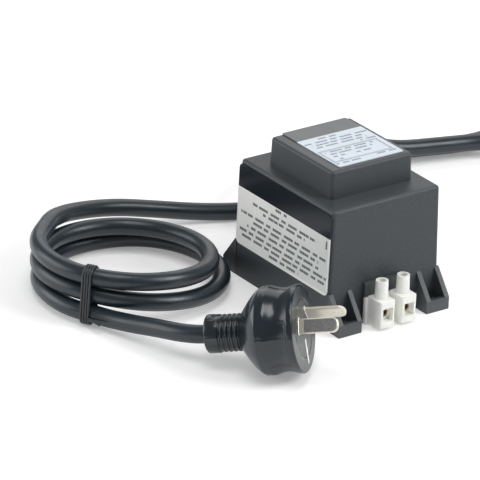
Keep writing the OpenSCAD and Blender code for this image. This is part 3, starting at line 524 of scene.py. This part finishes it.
def front_label_look():
    """Dark glossy header above a silver-grey field with painted shade, a thin bright rim and broken
    bars.
    """
    look = Look("label_silver", (0.91, 0.92, 0.90), FIELD_ROUGH, Specular_IOR_Level=0.3)
    look.vary(70, 0.04, 0.05)
    x, _, z = look.axes()
    # Painted shade: the field darkens from its upper left towards its lower right.
    shade = look.remap(look.math("SUBTRACT", x, z), SHADE_START * MM, SHADE_END * MM, 0, 1)
    colour = look.mix(shade, look.base, FIELD_PAINTED_SHADE)
    off_middle = look.math("ABSOLUTE", look.math("SUBTRACT", x, RIM_MIDDLE * MM))
    rim = look.math("MAXIMUM", look.math("GREATER_THAN", off_middle, RIM_HALF_W * MM),
                    look.math("LESS_THAN", z, RIM_BOTTOM * MM))
    colour = look.mix(rim, colour, RIM_COLOUR)
    bars = look.math("MAXIMUM", look.broken_bars(x, z, FRONT_ROWS, FRONT_ROW_H),
                     look.broken_bars(z, x, SIDE_ROWS, SIDE_ROW_H))
    colour = look.mix(look.math("MULTIPLY", bars, FRONT_INK_SHARE), colour, FRONT_INK)
    header = look.math("GREATER_THAN", z, HEADER_START * MM)
    look.cover(look.mix(header, colour, HEADER_COLOUR))
    rough = look.remap(header, 0, 1, FIELD_ROUGH, HEADER_ROUGH)
    look.join(rough, look.shader.inputs["Roughness"])
    return look.relief(500, 0.004)


def top_label_look():
    """White field with a fine double frame and broken bars, under a dark strip."""
    look = Look("label_white", (0.60, 0.67, 0.74), 0.3)
    look.vary(80, 0.03, 0.04)
    x, y, _ = look.axes()
    bars = look.broken_bars(y, x, TOP_ROWS, TOP_ROW_H)
    colour = look.mix(look.math("MULTIPLY", bars, TOP_INK_SHARE), look.base, TOP_INK)
    lines = look.math("MAXIMUM", *(look.outline(x, y, *edges) for edges in TOP_FRAMES))
    colour = look.mix(look.math("MULTIPLY", lines, FRAME_SHARE), colour, FRAME_COLOUR)
    strip = look.math("LESS_THAN", x, STRIP_END * MM)
    return look.cover(look.mix(strip, colour, STRIP_COLOUR)).relief(500, 0.004)


# Plug: radii, and distances back from its face, in mm
PLUG_R, WAIST_R, FLANGE_R = 18.4, 17.2, 18.5
RIB_R, NECK_R, COLLAR_R, SLEEVE_R = 7.9, 7.3, 8.1, 4.0
CARRIER_R, CARRIER_DEPTH, CARRIER_LIP = 12.0, 6, 0.1
ROUND_R, ROUND_STEPS = 0.7, 5
FACE_START, FACE_END, FACE_STEPS = CARRIER_R + 1.2, PLUG_R - ROUND_R - 0.1, 4
WAIST_START, WAIST_END, FLANGE_BACK = 2.0, 12.5, 15.6
WAIST_STEPS, WAIST_POWER = 24, 1.1
DOME_BACK, DOME_BULGE = 25.6, 1.4
DOME_FIRST, DOME_STEPS, DOME_POWER = 0.02, 18, 0.8
RIB_START, RIB_STEP, RIB_W, RIB_COUNT = 26.4, 2.1, 1.3, 4
COLLAR_START, PLUG_END = 35.0, PLUG_LEN / MM
LATHE_STEPS = 192

# Corners as (radius, distance): the flange's edge, the dome's end, a rib measured from its own
# start, and the collar with the hole that takes the lead
FLANGE_CORNERS = (
    (FLANGE_R + 0.05, WAIST_END + 0.6), (FLANGE_R, FLANGE_BACK - 1.1),
    (FLANGE_R - 0.15, FLANGE_BACK - 0.4),
)
DOME_CORNER = (NECK_R, DOME_BACK + 0.25)
RIB_CORNERS = (
    (NECK_R, 0), (RIB_R - 0.25, 0.1), (RIB_R, 0.35),
    (RIB_R, RIB_W - 0.35), (RIB_R - 0.25, RIB_W - 0.1), (NECK_R, RIB_W),
)
COLLAR_CORNERS = (
    (NECK_R, COLLAR_START - 0.3), (COLLAR_R - 0.5, COLLAR_START - 0.1),
    (COLLAR_R - 0.1, COLLAR_START + 0.2), (COLLAR_R, COLLAR_START + 0.6),
    (COLLAR_R, COLLAR_START + 2.4), (COLLAR_R, COLLAR_START + 2.8),
    (COLLAR_R, PLUG_END - 0.9), (COLLAR_R - 0.2, PLUG_END - 0.3),
    (COLLAR_R - 0.6, PLUG_END), (SLEEVE_R + 0.2, PLUG_END),
    (SLEEVE_R, PLUG_END - 0.3), (SLEEVE_R, PLUG_END - 5),
)

# Two finger grips, a raised line where the mould parts and a notch in the collar: their angles,
# half widths and edges in radians round the plug
GRIP_ANGLES, GRIP_HALF, GRIP_EDGE = (0.15, HALF_TURN), 0.62, 0.08
GRIP_START, GRIP_END, GRIP_RAMP, GRIP_DEPTH = 2.5, WAIST_END, 0.9, 0.45
PARTING_ANGLE, PARTING_HALF, PARTING_START, PARTING_H = math.radians(-10), 0.02, 1, 0.16
NOTCH_ANGLE, NOTCH_HALF, NOTCH_EDGE = 1.5, 0.5, 0.06
NOTCH_START, NOTCH_END, NOTCH_DEPTH = COLLAR_START - 0.05, COLLAR_START + 2.6, 1.0


def plug_outline():
    """Half section of the plug, from the rim of the insert's hole round to the lead's hole."""
    out = [(CARRIER_R, CARRIER_DEPTH), (CARRIER_R, CARRIER_LIP), (CARRIER_R + CARRIER_LIP, 0)]
    out += [(r, 0) for r in np.linspace(FACE_START, FACE_END, FACE_STEPS)]
    for a in np.linspace(0, QUARTER_TURN, ROUND_STEPS):
        out.append((PLUG_R - ROUND_R + ROUND_R * math.sin(a), ROUND_R * (1 - math.cos(a))))
    for u in np.linspace(0, 1, WAIST_STEPS):
        waist = (PLUG_R - WAIST_R) * math.sin(HALF_TURN * u) ** WAIST_POWER
        out.append((PLUG_R + (FLANGE_R - PLUG_R) * u - waist,
                    WAIST_START + (WAIST_END - WAIST_START) * u))
    out += FLANGE_CORNERS
    for u in np.linspace(DOME_FIRST, 1, DOME_STEPS):
        bulge = DOME_BULGE * math.sin(HALF_TURN * u ** DOME_POWER)
        out.append((FLANGE_R + (RIB_R - FLANGE_R) * u + bulge,
                    FLANGE_BACK + (DOME_BACK - FLANGE_BACK) * u))
    out.append(DOME_CORNER)
    for i in range(RIB_COUNT):
        out += [(r, RIB_START + RIB_STEP * i + s) for r, s in RIB_CORNERS]
    out += COLLAR_CORNERS
    return [(r * MM, -s * MM) for r, s in out]


def inside(off, half, edge):
    """1 near a middle, 0 from half its width on, and a ramp as wide as edge between."""
    return max(0, min(1, (half - off) / edge))


def turn_between(a, b):
    """Least turn from one angle to another, without its sign."""
    return abs((a - b + HALF_TURN) % FULL_TURN - HALF_TURN)


def plug_shift(r, z, a):
    """Radius with the finger grips, the parting line and the collar's notch."""
    s = -z / MM
    q = r
    if GRIP_START < s < GRIP_END:
        along = min(1, (s - GRIP_START) / GRIP_RAMP, (GRIP_END - s) / GRIP_RAMP)
        for middle in GRIP_ANGLES:
            across = inside(turn_between(a, middle), GRIP_HALF, GRIP_EDGE)
            q -= GRIP_DEPTH * MM * along * across
    beside_line = abs(math.sin(a - PARTING_ANGLE)) < PARTING_HALF
    if r > NECK_R * MM and s > PARTING_START and beside_line:
        q += PARTING_H * MM
    if NOTCH_START < s < NOTCH_END:
        q -= NOTCH_DEPTH * MM * inside(turn_between(a, NOTCH_ANGLE), NOTCH_HALF, NOTCH_EDGE)
    return q


def make_plug():
    """Moulded body of the plug, open at the face for the insert and behind for the lead."""
    body = link_mesh("plug_shell", lathe(plug_outline(), LATHE_STEPS, plug_shift))
    body.data.transform(PLUG_FRAME)
    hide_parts("plug_body")
    paint(body, plug_look)
    return body


# Pins, and the white bar in the face, in mm
PIN_W, PIN_T, PIN_LEN = 6.35, 1.63, 17.06
PIN_ROOT, PIN_TIP_R, PIN_EDGE = 4.0, 2.6, 0.32  # length inside the plug, round of the tip, bevel
PIN_OUT, PIN_TURN = 7.92, math.radians(60)  # out of the plug's axis, and round it
PANEL_W, PANEL_START, PANEL_END, PANEL_R = 5.2, 2.6, 16.4, 2.1
PANEL_LEVELS = ((-0.02, 0), (0.03, 0.05))  # (height out of the pin's flat, inset)
RING_W, RING_T, RING_PROUD, RING_EDGE = 7.2, 0.45, 0.2, 0.1
BAR_W, BAR_START, BAR_END, BAR_TURN = 1.7, 6.2, 15.2, math.radians(-4)
BAR_LEVELS = ((0.02, 0), (0.1, 0), (0.14, 0.08))  # (height out of the face, inset)
TIP_STEPS, PANEL_STEPS = 8, 7


def rounded_end(half_w, start, end, radius, steps):
    """Outline of a strip with two round corners at its far end."""
    out = [(-half_w, start), (half_w, start)]
    for middle, low in ((half_w - radius, 0), (radius - half_w, QUARTER_TURN)):
        for a in np.linspace(low, low + QUARTER_TURN, steps):
            out.append((middle + radius * math.cos(a), end - radius + radius * math.sin(a)))
    return out


def inset(outline, edge):
    """Moves an outline inwards, towards its own middle."""
    xs, ys = zip(*outline)
    mid = ((min(xs) + max(xs)) / 2, (min(ys) + max(ys)) / 2)
    half = ((max(xs) - min(xs)) / 2, (max(ys) - min(ys)) / 2)
    return [tuple(m + (v - m) * (1 - edge / h) for v, m, h in zip(p, mid, half)) for p in outline]


def slab(name, outline, levels, place, look):
    """Flat closed piece from one outline, with its levels as (height, inset) pairs."""
    bm = bmesh.new()
    closed_skin(bm, [
        [bm.verts.new((x * MM, h * MM, y * MM)) for x, y in inset(outline, edge)]
        for h, edge in levels
    ])
    piece = link_mesh(name, bm, smooth=False)
    piece.data.transform(place)
    paint(piece, look)
    return piece


def make_cover():
    """White bar on the face, where an earth pin would be."""
    half = BAR_W / 2
    bar = [(-half, BAR_START), (half, BAR_START), (half, BAR_END), (-half, BAR_END)]
    place = (PLUG_FRAME @ Matrix.Rotation(BAR_TURN, 4, "Z")
             @ Matrix.Rotation(QUARTER_TURN, 4, "X"))
    return slab("earth_cover", bar, BAR_LEVELS, place, looks["blank_white"])


def make_pin(name, node, side):
    """Flat pin with bevels, a dull panel on its outer flat and a bright ring at the face."""
    place = (PLUG_FRAME @ Matrix.Rotation(-side * PIN_TURN, 4, "Z")
             @ Matrix.Translation((0, PIN_OUT * MM, 0)))
    half_t = PIN_T / 2
    blade = rounded_end(PIN_W / 2, -PIN_ROOT, PIN_LEN, PIN_TIP_R, TIP_STEPS)
    levels = ((-half_t, PIN_EDGE), (PIN_EDGE - half_t, 0), (half_t - PIN_EDGE, 0),
              (half_t, PIN_EDGE))
    pin = slab(name, blade, levels, place, looks["nickel"])
    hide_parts(node)
    panel = rounded_end(PANEL_W / 2, PANEL_START, PANEL_END, PANEL_R, PANEL_STEPS)
    levels = [(half_t + h, edge) for h, edge in PANEL_LEVELS]
    panel = slab(name + "_panel", panel, levels, place, looks["pin_panel"])
    half_w, out = RING_W / 2, half_t + RING_PROUD
    ring = [(-half_w, 0), (half_w, 0), (half_w, RING_T), (-half_w, RING_T)]
    levels = ((-out, RING_EDGE), (RING_EDGE - out, 0), (out - RING_EDGE, 0), (out, RING_EDGE))
    return [pin, panel, slab(name + "_ring", ring, levels, place, looks["pin_ring"])]


# Ties
SHOW_TIE_TURN = 0.241  # where the tie crosses the coil that shows, in turns along it
SHOW_TIE_WIRE, SHOW_TIE_LANES = 0.54 * MM, np.array([-1.65, -0.55, 0.55, 1.65]) * MM
SHOW_TIE_STRANDS = 3  # turns of the lead that this tie goes round
SPARE_TIE_TURN = (SPARE_TURNS - math.floor(SPARE_TURNS)) / 2
SPARE_TIE_WIRE, SPARE_TIE_LANES = 0.5 * MM, np.array([-1.05, 0, 1.05]) * MM
TIE_ROOM = 0.06 * MM  # between the lead and the wire
WIRE_SIDES, WIRE_STEP = 8, 0.6 * MM
STRAND_STEPS, WRAP_STEPS = 24, 72  # points round one strand, and in one wrap
CHANGE_START = 0.85  # share of a wrap after which the wire moves over to the next lane
TWIST_OUT, TWIST_LEN = 3.5 * MM, 7 * MM
TWIST_HALF_TURNS, TWIST_STEPS = 5, 26
TWIST_R, TWIST_WIRE = 0.6, 0.8  # radius of the twist and of its wire, as shares of the wire's
KNOT_DROP = 0.5 * MM  # of the twisted ends, below the lowest strand's middle


def hull(points):
    """Convex outline of flat points, anticlockwise."""
    points = sorted(map(tuple, points))
    halves = []
    for run in (points, points[::-1]):
        half = []
        for p in run:
            while len(half) > 1 and ((half[-1][0] - half[-2][0]) * (p[1] - half[-2][1])
                                     <= (half[-1][1] - half[-2][1]) * (p[0] - half[-2][0])):
                half.pop()
            half.append(p)
        halves += half[:-1]
    return np.array(halves)


def make_tie(name, node, centre, heading, strands, wire_r, lanes):
    """Wire wound tightly round strands at (distance, height), a wrap to each lane, ends twisted."""
    reach = CORD_D / 2 + wire_r + TIE_ROOM
    turn = np.linspace(0, FULL_TURN, STRAND_STEPS, endpoint=False)
    ring = hull([(r + reach * math.cos(a), z + reach * math.sin(a))
                 for r, z in strands for a in turn])
    start = int(np.argmin(ring[:, 1]))
    ring = np.vstack([np.roll(ring, -start, axis=0), ring[start]])
    run = np.r_[0, np.cumsum(np.linalg.norm(np.diff(ring, axis=0), axis=1))]
    across = np.array([math.cos(heading), math.sin(heading), 0])
    along = np.array([-math.sin(heading), math.cos(heading), 0])
    origin = np.array([centre[0], centre[1], 0])

    def spot(r, z, lane):
        return origin + across * r + along * lane + np.array([0, 0, z])

    points = []
    for i, lane in enumerate(lanes):
        following = lanes[min(i + 1, len(lanes) - 1)]
        for u in np.arange(0, 1, 1 / WRAP_STEPS):
            change = max(0, (u - CHANGE_START) / (1 - CHANGE_START))
            r, z = (np.interp(u * run[-1], run, ring[:, k]) for k in (0, 1))
            points.append(spot(r, z, lane + (following - lane) * change))
    smooth, _ = resampled(np.array(points), WIRE_STEP)
    wraps = sweep(name, smooth, wire_r, WIRE_SIDES)
    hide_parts(node)
    paint(wraps, looks["tie_wire"])
    pieces = [wraps]

    knot_r = max(r for r, _ in strands) + reach
    knot_z = min(z for _, z in strands) - KNOT_DROP
    twist_r = TWIST_R * wire_r
    for end in range(2):
        points = []
        for u in np.linspace(0, 1, TWIST_STEPS):
            a = end * HALF_TURN + TWIST_HALF_TURNS * HALF_TURN * u
            points.append(spot(knot_r + TWIST_OUT * u + twist_r * math.cos(a),
                               knot_z + twist_r * math.sin(a), lanes[-1] + TWIST_LEN * u))
        piece = sweep(f"{name}_end_{end}", np.array(points), wire_r * TWIST_WIRE, WIRE_SIDES)
        paint(piece, looks["tie_wire"])
        pieces.append(piece)
    return pieces


# The lead and what is on it
CORD_SIDES = 20
line, cord_length = cord_line()
cord = sweep("mains_lead", line, CORD_D / 2, CORD_SIDES)
paint(cord, cord_look)
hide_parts("cord_out", "spare_coil", "cord_return", "cord_coil", "cord_lead")

show_tie = make_tie(
    "coil_tie_wire", "coil_tie", SHOW_CENTRE, SHOW_START + FULL_TURN * SHOW_TIE_TURN,
    [(eased(SHOW_RADII, (SHOW_TIE_TURN + i) * PER_TURN), show_point(SHOW_TIE_TURN + i)[2])
     for i in range(SHOW_TIE_STRANDS)],
    SHOW_TIE_WIRE, SHOW_TIE_LANES,
)
# The spare coil's tie goes round the same turns in both layers, from spare_in to spare_out
spare_out = spare_radius(SPARE_TIE_TURN)
spare_in = spare_out - TURN_STEP * (math.floor(SPARE_TURNS) - 1) / 2
spare_tie = make_tie(
    "spare_tie_wire", "spare_tie", SPARE_CENTRE, SPARE_START + FULL_TURN * SPARE_TIE_TURN,
    [(r, LIFTED_Z + layer * TURN_STEP) for r in (spare_in, spare_out) for layer in (0, 1)],
    SPARE_TIE_WIRE, SPARE_TIE_LANES,
)
plug = make_plug()
pins = (make_pin("pin_active", "plug_pin_active", side=-1)
        + make_pin("pin_neutral", "plug_pin_neutral", side=1))
plug_nodes = [
    NODES[n] for n in ("pin_carrier", "plug_core_active", "plug_core_neutral", "earth_blank")
]
[plug, make_cover()] + pins + show_tie + spare_tie + plug_nodes

# CAD nodes that keep their shape
for look, names in (
    (case_look, ("case",)),
    (front_label_look(), ("front_label",)),
    (top_label_look(), ("top_label",)),
    (nylon_look, ("terminal_housing",)),
    (cord_look, ("jacket_end",)),
    (plug_look, ("cord_anchor", "strain_relief")),
    (looks["brass"], ("terminal_barrel_a", "terminal_barrel_b", "winding_tags")),
    (looks["screw_steel"], ("clamp_screw_a", "clamp_screw_b")),
    (looks["insert_plastic"], ("pin_carrier",)),
    (looks["blank_white"], ("earth_blank",)),
    (looks["potting_resin"], ("potting_fill",)),
    (looks["lamination"], ("core_e", "core_i")),
    (looks["bobbin_plastic"], ("bobbin",)),
    (looks["copper_wire"], ("primary_winding", "secondary_winding")),
    (looks["tape"], ("primary_tape", "secondary_tape")),
    (looks["cutout_shell"], ("thermal_cutout",)),
    (looks["core_red"], ("cutout_lead",)),
    (looks["core_brown"], ("mains_core_live", "plug_core_active")),
    (looks["core_blue"], ("mains_core_neutral", "plug_core_neutral")),
    (looks["core_white"], ("secondary_lead_a", "secondary_lead_b")),
):
    for name in names:
        paint(name, look)


# Floor, world and lamps
WHITE = (1, 1, 1, 1)
FLOOR_HALF, FLOOR_COLOUR = 6, (0.9, 0.9, 0.9)
# The floor's glow beside the object and far off, and the distances between which it grows
GLOW_NEAR, GLOW_FAR, GLOW_START, GLOW_END = 0.25, 0.9, 0.35, 2.0
WORLD_LIGHT = 0.27
# Place, aim, size and power of each lamp
LAMPS = {
    "key": ((0.75, 0.6, 0.78), (0, -0.02, 0.02), (0.6, 0.6), 8.5),
    "top": ((0.16, -0.28, 1.12), (0.05, -0.05, 0.02), (0.46, 0.66), 4.2),
    "front": ((-0.85, -1.0, 0.42), (0, -0.02, 0.02), (1.2, 0.7), 7.2),
    "back": ((-0.85, 0.75, 0.8), (0, -0.02, 0.02), (1.3, 1.1), 5),
}


def background_rays(look):
    """1 for rays from the camera, a glossy surface or a clear one, which see the pale floor."""
    path = look.add("ShaderNodeLightPath").outputs
    seen = look.math("MAXIMUM", path["Is Camera Ray"], path["Is Glossy Ray"])
    return look.math("MAXIMUM", seen, path["Is Transmission Ray"])


def make_floor():
    bm = bmesh.new()
    bmesh.ops.create_grid(bm, x_segments=2, y_segments=2, size=FLOOR_HALF)
    floor = link_mesh("floor", bm, body=None)
    look = Look("floor_paper", FLOOR_COLOUR, 0.9, Specular_IOR_Level=0.1, Emission_Color=WHITE)
    look.vary(2, 0.01)
    x, y, _ = look.axes()
    square = look.math("ADD", look.math("MULTIPLY", x, x), look.math("MULTIPLY", y, y))
    glow = look.remap(look.math("SQRT", square), GLOW_START, GLOW_END, GLOW_NEAR, GLOW_FAR)
    look.join(look.math("MULTIPLY", background_rays(look), glow),
              look.shader.inputs["Emission Strength"])
    floor.data.materials.append(look.mat)


def make_world():
    world = bpy.data.worlds.new("studio")
    bpy.context.scene.world = world
    world.use_nodes = True
    back = world.node_tree.nodes["Background"]
    back.inputs["Color"].default_value = WHITE
    back.inputs["Strength"].default_value = WORLD_LIGHT


def make_lamp(name, place, aim, size, power):
    data = bpy.data.lights.new(name, "AREA")
    data.shape = "RECTANGLE"
    data.size, data.size_y = size
    data.energy = power
    lamp = bpy.data.objects.new(name, data)
    bpy.context.collection.objects.link(lamp)
    lamp.location = place
    lamp.rotation_euler = (Vector(aim) - Vector(place)).to_track_quat("-Z", "Y").to_euler()


make_floor()
make_world()
for name, values in LAMPS.items():
    make_lamp(name, *values)
bpy.context.scene.view_settings.view_transform = "Standard"
